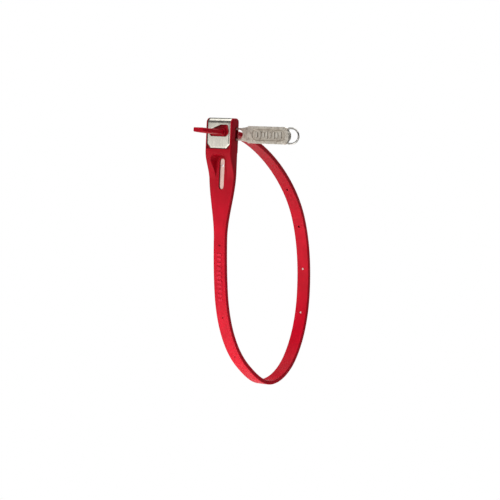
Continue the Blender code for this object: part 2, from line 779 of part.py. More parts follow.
def make_ring(key):
    """The wire bail, drawn about its hinge: two ends bent into the key, legs and a rounded bow."""
    height, bend = RING_HALF_HEIGHT, 0.8
    half = [(0.0, height - RING_PIN_DEPTH)]
    half += arc((bend, height - bend), bend, 180, 90, 4)
    straight, reach = RING_STRAIGHT - RING_PIN_X, RING_REACH - RING_STRAIGHT
    for i in range(9):
        angle = math.radians(90 - 90 * i / 8)
        half.append((straight + reach * math.cos(angle), height * math.sin(angle)))
    outline = half + [(x, -z) for x, z in half[-2::-1]]
    ring = sweep_wire("key_ring", [(x, 0.0, z) for x, z in outline], RING_WIRE, KEY_METAL)
    ring.parent = key
    ring.location = millimetres(RING_PIN_X, 0.0, 0.0)
    return ring


make_sheath()
make_core()
make_case()
make_frame()
make_rivet()
make_pawl()
make_pin()
make_spring()
make_ring(make_key())
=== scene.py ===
import math

import bmesh
import bpy
from mathutils import Matrix, Vector


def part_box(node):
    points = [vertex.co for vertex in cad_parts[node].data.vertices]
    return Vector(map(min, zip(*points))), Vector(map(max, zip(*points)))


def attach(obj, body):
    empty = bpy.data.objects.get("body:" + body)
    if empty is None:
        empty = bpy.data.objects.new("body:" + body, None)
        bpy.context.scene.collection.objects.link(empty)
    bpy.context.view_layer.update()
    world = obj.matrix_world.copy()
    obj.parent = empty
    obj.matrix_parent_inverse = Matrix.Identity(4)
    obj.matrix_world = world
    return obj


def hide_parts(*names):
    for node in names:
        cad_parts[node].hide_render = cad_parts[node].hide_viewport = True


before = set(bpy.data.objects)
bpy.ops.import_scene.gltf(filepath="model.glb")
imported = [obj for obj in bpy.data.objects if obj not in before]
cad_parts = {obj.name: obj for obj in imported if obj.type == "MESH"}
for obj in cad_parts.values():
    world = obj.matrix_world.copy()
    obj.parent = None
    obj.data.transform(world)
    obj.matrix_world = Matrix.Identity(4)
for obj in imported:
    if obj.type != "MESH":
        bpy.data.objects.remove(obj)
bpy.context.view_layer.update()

MM = 0.001

# How far a cutter stands past the surface that it cuts, in millimetres.
CLEAR = 1.0

# The CAD boxes that sizes and places below come from, in millimetres.
CASE_LOW, CASE_HIGH = (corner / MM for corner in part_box("lock_case"))
SHEATH_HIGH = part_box("strap_sheath")[1] / MM
KEY_LOW, KEY_HIGH = (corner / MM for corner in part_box("key_body"))
RING_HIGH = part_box("key_ring")[1] / MM

# Band and taper, in millimetres.
BAND_HALF_WIDTH, BAND_THICK = 4.6, 2.8
BAND_MID = BAND_THICK / 2
BAND_CORNER, BESIDE_CORNER = 0.6, 0.35
# Where a section has points along its flats, as shares of its half width.
FLAT_SHARES = (0.55, 0.3, 0.0, -0.3, -0.55)
TIP_HALF_WIDTH, TIP_THICK, TIP_LENGTH = 3.7, 2.7, 5.0
# The middle line's (y, z), and its heading in degrees below +Y.
TAIL_ROUTE = ((-29.2, 2.1, 2.5), (-9.0, 1.4, 0.0), (0.0, 1.4, 0.0))
LOOP_ROUTE = (
    (0.0, 1.4, 0.0),
    (36.4, -7.4, 25.0),
    (65.5, -26.2, 41.0),
    (86.8, -52.7, 64.0),
    (97.1, -104.4, 91.0),
    (85.2, -145.7, 124.0),
    (59.7, -161.8, 174.0),
    (29.6, -149.6, 216.0),
    (2.2, -101.0, 261.0),
    (-1.4, -45.0, 270.0),
)
FINE_STEP, TAPER_STEP = 1.4, 1.0
# The taper lies past this distance along the band, and in front of this y.
TAPER_FROM, TAPER_Y = 200.0, 20.0
TAPER_HALF_WIDTH = 10.08
TAPER_TOP, TAPER_BOTTOM = -24.0, -66.0
WEDGE_TOP, WEDGE_BOTTOM = -11.0, -29.0
WEDGE_FRONT, BAND_END = -7.88, -9.6

# Head block and its case.
HEAD_HALF_WIDTH = SHEATH_HIGH.x
HEAD_FRONT, HEAD_BACK, HEAD_TOP, HEAD_BOTTOM = CASE_LOW.y, CASE_HIGH.y, CASE_HIGH.z, -12.0
FRONT_BEND, BACK_BEND, SIDE_ROUND = 3.2, 2.5, 1.0
CASE_HALF_WIDTH, CASE_THICK, CASE_GAP = CASE_HIGH.x, 0.6, 0.15
SEAT_FOOT_GAP = 0.4
CROWN_DROP, CROWN_WIDTH, CROWN_STEPS = 0.28, 1.3, (0.2, 0.5, 0.85, 1.3)
CASE_FOOT, CASE_LIP, CASE_CHAMFER, CASE_ROUND = CASE_LOW.z, 4.2, 2.9, 0.12
# The window's x and z spans, and its corners' cuts from the lower left round to the upper left.
WINDOW = ((-7.2, 7.2), (-1.4, 6.0))
WINDOW_CORNERS = ((1.3, 1.3), (1.3, 1.3), (0.8, 0.8), (9.0, 3.2))
CASE_CUT_DEPTH = -6.0

# Hollows in the head, and the lip round the tail. The cavity is its x, y and z spans.
COLLAR_HALF_WIDTH, COLLAR_Z, COLLAR_FRONT = 5.5, (-1.0, 3.7), -8.2
COLLAR_ROOT, COLLAR_ROUND = 1.2, 0.6
CHANNEL_GAP, CHANNEL_ROUND = 0.1, 0.5
CAVITY = ((-6.4, 6.4), (-6.6, -0.9), (-1.3, 9.8))
KEY_GAP, KEY_SLOT_X, GROOVE_START, GROOVE_END, GROOVE_LAP = 0.2, (6.0, 12.0), 0.5, 7.0, 0.2
PIN, PIN_HALF_LENGTH, PIN_RADIUS = (-2.4, 6.0), 7.75, 0.7

# Core channel, ladder pockets, taper slot and pin marks.
CORE_HALF_WIDTH, CORE_THICK, CORE_OFFSET, CORE_GAP = 3.1, 0.5, 0.35, 0.15
CORE_END, CORE_SETBACK = -4.6, 1.0
LADDER_FIRST, LADDER_PITCH, LADDER_COUNT = -24.35, 5.0, 45
LADDER_SLOT, LADDER_HALF_WIDTH, LADDER_ROUND = 2.7, 2.4, 0.5
POCKET_SINK, POCKET_CLEAR = 0.1, 0.5
TAPER_SLOT_Z, TAPER_SLOT_HALF, TAPER_SLOT_LAP = (-34.8, -15.3), 1.95, 0.2
RECESS_HALF_WIDTH, RECESS_TOP, RECESS_BOTTOM, RECESS_CORNER = 7.3, -12.6, -33.0, 4.5
RECESS_FLOOR, RECESS_SIDE_LEAN, RECESS_TOP_LEAN = (-2.6, -2.85), 3.0, 1.0
# The marks' distances along the band, on the loop's inside and on its outside.
INNER_MARKS, INNER_MARK_RADIUS = (83.15, 113.15, 143.15, 173.15), 0.75
OUTER_MARKS, OUTER_MARK_RADIUS = (279.4, 309.3, 356.1), 0.45
MARK_RIM, MARK_RIM_DEPTH, MARK_SIDES = 0.3, 0.04, 24
CORE_HOLE_Z, CORE_HOLE_Y, CORE_HOLE_RELIEF = -19.8, 1.0, 1.6
RIVET_Z, RIVET_Y, RIVET_ROOM = -7.1, (-4.25, -0.6), 1.85
TAB_HALF_WIDTH, TAB_ROOM = 3.15, 1.1
TAB_ROUTE = ((-4.5, -0.6), (-4.5, -3.9), (-2.75, -5.2), (-2.75, -9.05))

# Ribs on the front of the band, and the stud ends in two of the marks, bright steel put there as
# painted glints.
RIB_FIRST, RIB_LAST, RIB_PITCH = 321.0, 350.0, 2.9
RIB_HALF_WIDTH, RIB_HALF_LENGTH, RIB_ROUND = 1.7, 0.85, 0.5
RIB_HEIGHT, RIB_ROOT = 0.16, 0.2
GLINT_STUD_MARKS = INNER_MARKS[2:]
STUD_RADIUS, STUD_DEPTH, STUD_FOOT, STUD_ROUND = 0.7, 0.12, 0.05, 0.08

# Which of the moulding's faces take its other two materials: the ribs a lighter red as a painted
# highlight, the faces turned sideways a darker red as painted shade.
RIB_FACES, SHADED_SIDE_FACES = 1, 2
RAISED_BY, RIB_MARGIN = 0.04, 2.0
SIDE_TILT, SIDE_START = 0.45, 0.2

# Key.
KEY_Y, KEY_Z = (KEY_LOW.y + KEY_HIGH.y) / 2, (KEY_LOW.z + KEY_HIGH.z) / 2
FORK_THICK, FOB_THICK = 2.3, KEY_HIGH.y - KEY_LOW.y
FORK_TIP, FORK_ROOT, FORK_GAP, PRONG = KEY_LOW.x, 15.6, 2.8, 1.2
FORK_TIP_FLAT, FORK_WEDGE, FORK_ROUND = 0.4, 4.4, 0.2
NECK_X, NECK_LEAD, NECK_SHOULDER, NECK_LAP = (16.0, 20.4), 1.5, 0.4, (3.0, 4.0)
FOB_HALF_WIDTH, FOB_SETBACK, FOB_CHAMFER = (KEY_HIGH.z - KEY_LOW.z) / 2, 1.2, 0.8
FOB_CORNER, FOB_CORNER_SHIFT, FOB_CORNER_END, FOB_ROUND = 2.2, 0.4, 38, 0.4
FOB_SHOULDER, FOB_END, FOB_NOSE, FOB_NOSE_RISE = 48.4, KEY_HIGH.x, 4.1, 1.9
PANEL_X, PANEL_HALF, PANEL_DEPTH, PANEL_LEAN, PANEL_OVER = (22.6, 48.0), 3.7, 0.35, 0.3, 0.3
GRIP_COUNT, GRIP_HALF, GRIP_LENGTH = 8, 0.6, 2.3
GRIP_SHORT, GRIP_ROUND, GRIP_SINK = 0.72, 0.55, 0.08

# Wire bail.
RING_PIN_X, RING_WIRE, RING_BORE, RING_BORE_SPARE = 49.3, 0.6, 0.75, 0.3
RING_HALF_HEIGHT, RING_STRAIGHT, RING_BEND, RING_STEPS = 4.8, 51.5, 0.9, 24
RING_REACH, RING_PIN_DEPTH = RING_HIGH.x - RING_WIRE, 3.4

# Points closer than this are one point, in metres.
WELD_DISTANCE = 2e-6


# ---------------------------------------------------------------- shapes


def add_object(name, data):
    obj = bpy.data.objects.new(name, data)
    bpy.context.scene.collection.objects.link(obj)
    return obj


def new_object(name, bm):
    """An object from a bmesh in millimetres."""
    bmesh.ops.recalc_face_normals(bm, faces=bm.faces)
    bmesh.ops.scale(bm, vec=Vector((MM, MM, MM)), verts=bm.verts)
    mesh = bpy.data.meshes.new(name)
    bm.to_mesh(mesh)
    bm.free()
    return add_object(name, mesh)


def own_mesh(obj):
    """What an object looks like with its modifiers, as a new mesh."""
    bpy.context.view_layer.update()
    graph = bpy.context.evaluated_depsgraph_get()
    return bpy.data.meshes.new_from_object(obj.evaluated_get(graph))


def settle(obj):
    """Turns the object's modifiers into its own mesh."""
    mesh = own_mesh(obj)
    obj.modifiers.clear()
    obj.data = mesh


def combine(obj, other, operation="DIFFERENCE"):
    """Cuts with, or joins on, another object, which is then gone."""
    modifier = obj.modifiers.new("combine", "BOOLEAN")
    modifier.operation = operation
    modifier.object = other
    modifier.solver = "EXACT"
    settle(obj)
    bpy.data.objects.remove(other, do_unlink=True)


def round_edges(obj, width, segments=3, angle=50):
    """Rounds the edges that turn by more than an angle in degrees."""
    bevel = obj.modifiers.new("round", "BEVEL")
    bevel.width = width * MM
    bevel.segments = segments
    bevel.limit_method = "ANGLE"
    bevel.angle_limit = math.radians(angle)
    bevel.harden_normals = False
    settle(obj)


def clean_faces(obj):
    """Takes out faces with no area, and splits the faces of more than four sides."""
    bm = bmesh.new()
    bm.from_mesh(obj.data)
    bmesh.ops.remove_doubles(bm, verts=bm.verts[:], dist=WELD_DISTANCE)
    bmesh.ops.dissolve_degenerate(bm, dist=WELD_DISTANCE, edges=bm.edges[:])
    many_sided = [face for face in bm.faces if len(face.verts) > 4]
    bmesh.ops.triangulate(bm, faces=many_sided, quad_method="BEAUTY", ngon_method="BEAUTY")
    bmesh.ops.dissolve_degenerate(bm, dist=WELD_DISTANCE, edges=bm.edges[:])
    bm.to_mesh(obj.data)
    bm.free()


def finish_surface(obj, angle=35):
    """Smooth shading that keeps flat faces flat and crisp edges crisp."""
    clean_faces(obj)
    obj.data.shade_smooth()
    obj.data.set_sharp_from_angle(angle=math.radians(angle))
    weighted = obj.modifiers.new("weighted", "WEIGHTED_NORMAL")
    weighted.keep_sharp = True


def add_cylinder(bm, start, end, radius, segments=32):
    start, end = Vector(start), Vector(end)
    turn = (end - start).to_track_quat("Z", "Y").to_matrix().to_4x4()
    place = Matrix.Translation((start + end) / 2) @ turn
    bmesh.ops.create_cone(
        bm, cap_ends=True, segments=segments, radius1=radius, radius2=radius,
        depth=(end - start).length, matrix=place,
    )


def add_prism(bm, outline, axis, low, high, matrix=None):
    """A flat outline extruded along an axis. Returns the points at its far end.

    The outline's points are (y, z) on X, (x, z) on Y and (x, y) on Z.
    """
    place = {
        "X": lambda a, b: (low, a, b),
        "Y": lambda a, b: (a, low, b),
        "Z": lambda a, b: (a, b, low),
    }[axis]
    face = bm.faces.new([bm.verts.new(place(a, b)) for a, b in outline])
    made = bmesh.ops.extrude_face_region(bm, geom=[face])["geom"]
    moved = [item for item in made if isinstance(item, bmesh.types.BMVert)]
    step = Vector([high - low if letter == axis else 0.0 for letter in "XYZ"])
    bmesh.ops.translate(bm, vec=step, verts=moved)
    if matrix:
        ring = set(moved) | set(face.verts)
        bmesh.ops.transform(bm, matrix=matrix, verts=list(ring))
    return moved


def prism(name, outline, axis, low, high):
    bm = bmesh.new()
    add_prism(bm, outline, axis, low, high)
    return new_object(name, bm)


def box(name, lo, hi):
    middle = [(a + b) / 2 for a, b in zip(lo, hi)]
    size = [b - a for a, b in zip(lo, hi)]
    place = Matrix.Translation(middle) @ Matrix.Diagonal((*size, 1.0))
    bm = bmesh.new()
    bmesh.ops.create_cube(bm, size=1.0, matrix=place)
    return new_object(name, bm)


def arc(center, radius, start, end, steps=12):
    """Points on a circle, from one angle in degrees to another."""
    angles = [math.radians(start + (end - start) * i / steps) for i in range(steps + 1)]
    return [(center[0] + radius * math.cos(a), center[1] + radius * math.sin(a)) for a in angles]


def strip(route, thick):
    """The outline of a sheet of this thickness whose middle line is the route."""
    left, right = [], []
    points = [Vector(p) for p in route]
    for i, point in enumerate(points):
        before = (point - points[i - 1]).normalized() if i else None
        after = (points[i + 1] - point).normalized() if i + 1 < len(points) else None
        along = ((before or after) + (after or before)).normalized()
        square = (before or after).dot(along)
        side = Vector((-along.y, along.x)) * (thick / 2 / square)
        left.append(tuple(point + side))
        right.append(tuple(point - side))
    return left + right[::-1]


def rounded_box(half_x, half_y, radius, steps=4):
    """The outline of a rounded rectangle about its middle."""
    outline = []
    for sx, sy, start in ((1, 1, 0), (-1, 1, 90), (-1, -1, 180), (1, -1, 270)):
        center = (sx * (half_x - radius), sy * (half_y - radius))
        outline += arc(center, radius, start, start + 90, steps)
    return outline


def stadium(x0, x1, half, steps=16):
    """The outline of an oblong with round ends, lying along its first axis."""
    right_end = arc((x1 - half, 0.0), half, -90, 90, steps)
    return right_end + arc((x0 + half, 0.0), half, 90, 270, steps)


def chamfered(x_span, z_span, corners):
    """The outline of a rectangle with a cut of (across, up) at each corner."""
    (x0, x1), (z0, z1) = x_span, z_span
    a, b, c, d = corners
    return [
        (x0 + a[0], z0), (x1 - b[0], z0), (x1, z0 + b[1]), (x1, z1 - c[1]),
        (x1 - c[0], z1), (x0 + d[0], z1), (x0, z1 - d[1]), (x0, z0 + a[1]),
    ]


def smooth(value, low, high):
    """0 up to low, 1 from high on, and an even S between them."""
    share = min(1.0, max(0.0, (value - low) / (high - low)))
    return share * share * (3 - 2 * share)


# ---------------------------------------------------------------- the band's route


def heading_vector(degrees):
    angle = math.radians(degrees)
    return Vector((math.cos(angle), -math.sin(angle)))


def curve_between(start, end):
    """Points on a near-circular Bezier from one (y, z, heading) to the next."""
    p0, p3 = Vector(start[:2]), Vector(end[:2])
    chord = (p3 - p0).length
    reach = chord / (3 * math.cos(math.radians((end[2] - start[2]) / 4)) ** 2)
    p1 = p0 + heading_vector(start[2]) * reach
    p2 = p3 - heading_vector(end[2]) * reach
    count = max(1, round(chord / FINE_STEP))
    for i in range(count):
        t = i / count
        u = 1 - t
        yield u**3 * p0 + 3 * u * u * t * p1 + 3 * u * t * t * p2 + t**3 * p3


def stations(top):
    """The band's middle line, up to a height in front of the loop.

    Each row is the distance along the band from y = 0 under the head, the point (y, z), and the
    unit vectors along the band and out of the loop.
    """
    anchors = TAIL_ROUTE + LOOP_ROUTE[1:]
    points = [p for a, b in zip(anchors, anchors[1:]) for p in curve_between(a, b)]
    y, z = LOOP_ROUTE[-1][:2]
    count = round((top - z) / TAPER_STEP)
    points += [Vector((y, z + (top - z) * i / count)) for i in range(count + 1)]
    lengths = [0.0]
    for a, b in zip(points, points[1:]):
        lengths.append(lengths[-1] + (b - a).length)
    head = Vector(LOOP_ROUTE[0][:2])
    at_head = min(range(len(points)), key=lambda i: (points[i] - head).length)
    found = []
    for i, point in enumerate(points):
        along = (points[min(i + 1, len(points) - 1)] - points[max(i - 1, 0)]).normalized()
        found.append((lengths[i] - lengths[at_head], point, along, Vector((-along.y, along.x))))
    return found


STATIONS = stations(BAND_END)


def place_on_band(where):
    """A matrix at a distance along the band: X across it, Y along it and Z outwards."""
    for (s0, p0, _, _), (s1, p1, _, _) in zip(STATIONS, STATIONS[1:]):
        if s0 <= where <= s1:
            break
    along = (p1 - p0).normalized()
    point = p0 + along * (where - s0)
    columns = ((1, 0, 0), (0, *along), (0, -along.y, along.x))
    turn = Matrix(columns).transposed().to_4x4()
    return Matrix.Translation((0.0, *point)) @ turn


def section(half_width, inner, outer, corner, steps=5):
    """A rounded oblong as (across, outwards) points, some of them along its flats."""
    points = []
    for sx, sy, start in ((1, 1, 0), (-1, 1, 90), (-1, -1, 180), (1, -1, 270)):
        flat = (outer - corner) if sy > 0 else (inner + corner)
        center = (sx * (half_width - corner), flat)
        turn = arc(center, corner, start, start + 90, steps)
        support = (center[0] - sx * BESIDE_CORNER, outer if sy > 0 else inner)
        points += turn + [support] if sx == sy else [support] + turn
        if sx == sy:
            points += [(sx * half_width * share, support[1]) for share in FLAT_SHARES]
    return points


def loft(bm, rings):
    """A closed skin through rings that have the same number of points."""
    loops = [[bm.verts.new(p) for p in ring] for ring in rings]
    count = len(loops[0])
    for a, b in zip(loops, loops[1:]):
        for i in range(count):
            j = (i + 1) % count
            bm.faces.new((a[i], a[j], b[j], b[i]))
    bm.faces.new(loops[0])
    bm.faces.new(loops[-1][::-1])


def on_band(point, outwards, across, out):
    """The (x, y, z) of a section's point at a station."""
    place = point + outwards * out
    return (across, place.x, place.y)


# ---------------------------------------------------------------- nylon moulding


def band_section(distance, point):
    """The moulding's section: the tail, the plain band, or the taper up to the head."""
    if distance < 0:
        share = smooth(distance, STATIONS[0][0], STATIONS[0][0] + TIP_LENGTH)
        half = TIP_HALF_WIDTH + (BAND_HALF_WIDTH - TIP_HALF_WIDTH) * share
        thick = TIP_THICK + (BAND_THICK - TIP_THICK) * share
        return section(half, -thick / 2, thick / 2, BAND_CORNER)
    if distance < TAPER_FROM or point.x > TAPER_Y:
        return section(BAND_HALF_WIDTH, -BAND_MID, BAND_MID, BAND_CORNER)
    share = smooth(point.y, TAPER_BOTTOM, TAPER_TOP)
    half = BAND_HALF_WIDTH + (TAPER_HALF_WIDTH - BAND_HALF_WIDTH) * share
    rise = smooth(point.y, WEDGE_BOTTOM, WEDGE_TOP)
    outer = BAND_MID + (-WEDGE_FRONT - BAND_THICK) * rise
    corner = BAND_CORNER + (SIDE_ROUND - BAND_CORNER) * share
    return section(half, -BAND_MID, outer, corner)


def make_band():
    rings = []
    for distance, point, _, outwards in STATIONS:
        rings.append([on_band(point, outwards, a, o) for a, o in band_section(distance, point)])
    bm = bmesh.new()
    loft(bm, rings)
    return new_object("moulded_band", bm)


def head_outline(inset=0.0):
    """The head's two top bends as (y, z) points, from front to back."""
    front, back, top = HEAD_FRONT + inset, HEAD_BACK - inset, HEAD_TOP - inset
    bend_front, bend_back = FRONT_BEND - inset, BACK_BEND - inset
    outline = arc((front + bend_front, top - bend_front), bend_front, 180, 90)
    return outline + arc((back - bend_back, top - bend_back), bend_back, 90, 0)


def make_head():
    outline = [(HEAD_FRONT, HEAD_BOTTOM)] + head_outline() + [(HEAD_BACK, HEAD_BOTTOM)]
    head = prism("head", outline, "X", -HEAD_HALF_WIDTH, HEAD_HALF_WIDTH)
    round_edges(head, SIDE_ROUND, segments=5, angle=60)
    combine(head, make_seat())
    combine(head, make_collar(), "UNION")
    combine(head, make_hollows())
    return head


def make_seat():
    """The cutter for the step that the case lies in."""
    depth = CASE_THICK + CASE_GAP
    foot, lip = CASE_FOOT - SEAT_FOOT_GAP, CASE_LIP - CASE_GAP
    front, back, top = HEAD_FRONT - CLEAR, HEAD_BACK + CLEAR, HEAD_TOP + CLEAR
    outline = [(front, foot), (front, top), (back, top), (back, lip), (HEAD_BACK - depth, lip)]
    outline += head_outline(depth)[::-1] + [(HEAD_FRONT + depth, foot)]
    half = CASE_HALF_WIDTH + CASE_GAP
    return prism("seat_cutter", outline, "X", -half, half)


def make_collar():
    """The raised lip round the band in the window, its front edge rounded over."""
    low, high = COLLAR_Z
    mid = (low + high) / 2
    oblong = stadium(-COLLAR_HALF_WIDTH, COLLAR_HALF_WIDTH, (high - low) / 2)
    outline = [(x, z + mid) for x, z in oblong]
    collar = prism("collar", outline, "Y", COLLAR_FRONT, HEAD_FRONT + COLLAR_ROOT)
    round_edges(collar, COLLAR_ROUND, segments=5, angle=60)
    return collar


def make_hollows():
    """The cutter for the lock's cavity, the tail's channel, the key's way in and the pin's bore."""
    cutter = box("hollow_cutter", *zip(*CAVITY))
    gap, reach = CHANNEL_GAP, BAND_HALF_WIDTH + CHANNEL_GAP
    low = (-reach, HEAD_FRONT - 2 * CLEAR, -gap)
    high = (reach, HEAD_BACK + 2 * CLEAR, BAND_THICK + gap)
    channel = box("channel_cutter", low, high)
    round_edges(channel, CHANNEL_ROUND, segments=4, angle=60)
    combine(cutter, channel, "UNION")
    y0, y1 = KEY_Y - FORK_THICK / 2 - KEY_GAP, KEY_Y + FORK_THICK / 2 + KEY_GAP
    fork = FORK_GAP + PRONG + KEY_GAP
    x0, x1 = KEY_SLOT_X
    slot = box("slot_cutter", (x0, y0, KEY_Z - fork), (x1, y1, KEY_Z + fork))
    combine(cutter, slot, "UNION")
    low = (FORK_TIP - GROOVE_START, y0, KEY_Z - fork)
    high = (GROOVE_END, y1, CAVITY[2][0] + GROOVE_LAP)
    combine(cutter, box("groove_cutter", low, high), "UNION")
    bm = bmesh.new()
    add_cylinder(bm, (-PIN_HALF_LENGTH, *PIN), (PIN_HALF_LENGTH, *PIN), PIN_RADIUS)
    combine(cutter, new_object("pin_cutter", bm), "UNION")
    return cutter


def make_recess():
    """The arch-topped pocket below the head, its walls leaning out and its floor running out."""
    reach, corner = RECESS_HALF_WIDTH, RECESS_CORNER
    outline = [(-reach, RECESS_BOTTOM), (reach, RECESS_BOTTOM)]
    outline += arc((reach - corner, RECESS_TOP - corner), corner, 0, 90)
    outline += arc((corner - reach, RECESS_TOP - corner), corner, 90, 180)
    bm = bmesh.new()
    floor_verts = add_prism(bm, outline, "Y", HEAD_FRONT - CLEAR, RECESS_FLOOR[0])
    for vert in floor_verts:
        share = (RECESS_TOP - vert.co.z) / (RECESS_TOP - RECESS_BOTTOM)
        vert.co.y = RECESS_FLOOR[0] + (RECESS_FLOOR[1] - RECESS_FLOOR[0]) * share
        vert.co.x *= 1 - RECESS_SIDE_LEAN / reach
        vert.co.z -= RECESS_TOP_LEAN * (1 - share)
    return new_object("recess_cutter", bm)


def make_taper_slot():
    """The cutter for the slot that shows the core."""
    outline = [(x, z) for z, x in stadium(*TAPER_SLOT_Z, TAPER_SLOT_HALF)]
    depth = -BAND_MID - CORE_OFFSET + CORE_THICK / 2
    return prism("taper_slot_cutter", outline, "Y", HEAD_FRONT - CLEAR, depth - TAPER_SLOT_LAP)


def make_core_channel():
    """The cutter for the room that the core lies in, all along the band."""
    half = CORE_HALF_WIDTH + CORE_GAP
    inner = CORE_OFFSET - CORE_THICK / 2 - CORE_GAP
    outer = CORE_OFFSET + CORE_THICK / 2 + CORE_GAP
    outline = ((-half, inner), (half, inner), (half, outer), (-half, outer))
    rings = [
        [on_band(point, outwards, a, o) for a, o in outline]
        for distance, point, _, outwards in stations(CORE_END)
        if distance > STATIONS[0][0] + CORE_SETBACK
    ]
    bm = bmesh.new()
    loft(bm, rings)
    return new_object("core_channel_cutter", bm)


def mark_ring(place, height, radius):
    """A ring of points round a mark, at a height over the band's middle line."""
    turns = [math.tau * i / MARK_SIDES for i in range(MARK_SIDES)]
    ring = [(radius * math.cos(turn), radius * math.sin(turn), height) for turn in turns]
    return [place @ Vector(point) for point in ring]


def make_pockets():
    """The oblong pockets over the core's ladder holes, and the round marks that reach the core."""
    bm = bmesh.new()
    outline = rounded_box(LADDER_HALF_WIDTH, LADDER_SLOT / 2, LADDER_ROUND)
    low, high = CORE_OFFSET - POCKET_SINK, BAND_MID + POCKET_CLEAR
    for i in range(LADDER_COUNT):
        add_prism(bm, outline, "Z", low, high, place_on_band(LADDER_FIRST + i * LADDER_PITCH))
    inner = (INNER_MARKS, -BAND_MID - CLEAR, INNER_MARK_RADIUS)
    outer = (OUTER_MARKS, BAND_MID + CLEAR, OUTER_MARK_RADIUS)
    for marks, start, radius in (inner, outer):
        rim = math.copysign(BAND_MID - MARK_RIM_DEPTH, start)
        steps = [(CORE_OFFSET, radius), (rim, radius)]
        steps += [(rim, radius + MARK_RIM), (start, radius + MARK_RIM)]
        if start < 0:
            steps.reverse()
        for where in marks:
            place = place_on_band(where)
            loft(bm, [mark_ring(place, *step) for step in steps])
    core_y = -BAND_MID - CORE_OFFSET
    add_cylinder(bm, (0, core_y, CORE_HOLE_Z), (0, CORE_HOLE_Y, CORE_HOLE_Z), CORE_HOLE_RELIEF)
    return new_object("pocket_cutter", bm)


def make_anchor_pocket():
    """The cutter for the frame's tab and the rivet that joins the core to it."""
    half = TAB_HALF_WIDTH
    pocket = prism("tab_cutter", strip(TAB_ROUTE, TAB_ROOM), "X", -half, half)
    bm = bmesh.new()
    front, back = RIVET_Y
    add_cylinder(bm, (0, front, RIVET_Z), (0, back, RIVET_Z), RIVET_ROOM)
    combine(pocket, new_object("rivet_cutter", bm), "UNION")
    return pocket


def make_ribs():
    """Plain raised ribs on the front of the band, where the photo has faint marks."""
    bm = bmesh.new()
    count = round((RIB_LAST - RIB_FIRST) / RIB_PITCH)
    outline = rounded_box(RIB_HALF_WIDTH, RIB_HALF_LENGTH, RIB_ROUND)
    low, high = BAND_MID - RIB_ROOT, BAND_MID + RIB_HEIGHT
    for i in range(count + 1):
        place = place_on_band(RIB_FIRST + (RIB_LAST - RIB_FIRST) * i / count)
        add_prism(bm, outline, "Z", low, high, place)
    return new_object("ribs", bm)


def mark_faces(sheath):
    """Gives the ribs' faces the second material, a painted highlight, and the faces turned sideways
    the third, painted shade.

    The part of the tail in front of the head keeps the first.
    """
    for face in sheath.data.polygons:
        point = Vector(face.center[1:]) / MM
        where, middle, _, outwards = min(STATIONS, key=lambda s: (s[1] - point).length_squared)
        raised = (point - middle).dot(outwards) > BAND_MID + RAISED_BY
        if abs(face.normal.x) > SIDE_TILT and point.x > HEAD_FRONT + SIDE_START:
            face.material_index = SHADED_SIDE_FACES
        elif raised and RIB_FIRST - RIB_MARGIN < where < RIB_LAST + RIB_MARGIN:
            face.material_index = RIB_FACES


def make_studs():
    """Flat, near-white steel ends in two of the pin marks, a little below the nylon's face, put
    there as painted glints.
    """
    bm = bmesh.new()
    heights = (CORE_OFFSET - CORE_THICK / 2 + STUD_FOOT, STUD_DEPTH - BAND_MID)
    for where in GLINT_STUD_MARKS:
        place = place_on_band(where)
        ends = [place @ Vector((0, 0, height)) for height in heights]
        add_cylinder(bm, *ends, STUD_RADIUS, MARK_SIDES)
    studs = new_object("painted_glint_stud_ends", bm)
    round_edges(studs, STUD_ROUND, segments=2)
    finish_surface(studs, angle=40)
    return studs


def make_sheath():
    sheath = make_band()
    combine(sheath, make_head(), "UNION")
    combine(sheath, make_ribs(), "UNION")
    combine(sheath, make_recess())
    combine(sheath, make_core_channel())
    combine(sheath, make_anchor_pocket())
    combine(sheath, make_taper_slot())
    combine(sheath, make_pockets())
    mark_faces(sheath)
    finish_surface(sheath, angle=32)
    return sheath


# ---------------------------------------------------------------- steel case and key


def make_case():
    half_sheet = CASE_THICK / 2
    route = [(HEAD_FRONT + half_sheet, CASE_FOOT)] + head_outline(half_sheet)
    route += [(HEAD_BACK - half_sheet, CASE_LIP)]
    outline = strip(route, CASE_THICK)
    case = prism("bent_lock_case", outline, "X", -CASE_HALF_WIDTH, CASE_HALF_WIDTH)
    span = (HEAD_FRONT - 2 * CLEAR, CASE_CUT_DEPTH)
    combine(case, prism("window_cutter", chamfered(*WINDOW, WINDOW_CORNERS), "Y", *span))
    over = 0.1
    for side in (-1, 1):
        edge, foot = side * (CASE_HALF_WIDTH + over), CASE_FOOT - over
        corner = [(edge, foot), (edge - side * CASE_CHAMFER, foot), (edge, foot + CASE_CHAMFER)]
        combine(case, prism("corner_cutter", corner, "Y", *span))
    crown_case(case)
    round_edges(case, CASE_ROUND, angle=30)
    finish_surface(case, angle=40)
    return case


def case_depth(point):
    """How far a point of the case's outer face is from its edge, and the way into the head.

    Returns None for a point that isn't on the outer face.
    """
    off_face, flat_reach = 0.1, 3.0
    x, y, z = point
    side = CASE_HALF_WIDTH - abs(x)
    front_middle = Vector((HEAD_FRONT + FRONT_BEND, HEAD_TOP - FRONT_BEND))
    back_middle = Vector((HEAD_BACK - BACK_BEND, HEAD_TOP - BACK_BEND))
    if z > front_middle.y and y < front_middle.x:
        inward, reach = front_middle - Vector((y, z)), FRONT_BEND
    elif z > back_middle.y and y > back_middle.x:
        inward, reach = back_middle - Vector((y, z)), BACK_BEND
    elif y < front_middle.x:
        inward, reach = Vector((front_middle.x - y, 0.0)), FRONT_BEND
        cut = (side + (z - CASE_FOOT) - CASE_CHAMFER) / math.sqrt(2)
        side = min(side, z - CASE_FOOT, cut)
    elif y > back_middle.x:
        inward, reach = Vector((back_middle.x - y, 0.0)), BACK_BEND
        side = min(side, z - CASE_LIP)
    else:
        inward, reach = Vector((0.0, HEAD_TOP - flat_reach - z)), flat_reach
    if abs(inward.length - reach) > off_face:
        return None
    return side, inward.normalized()


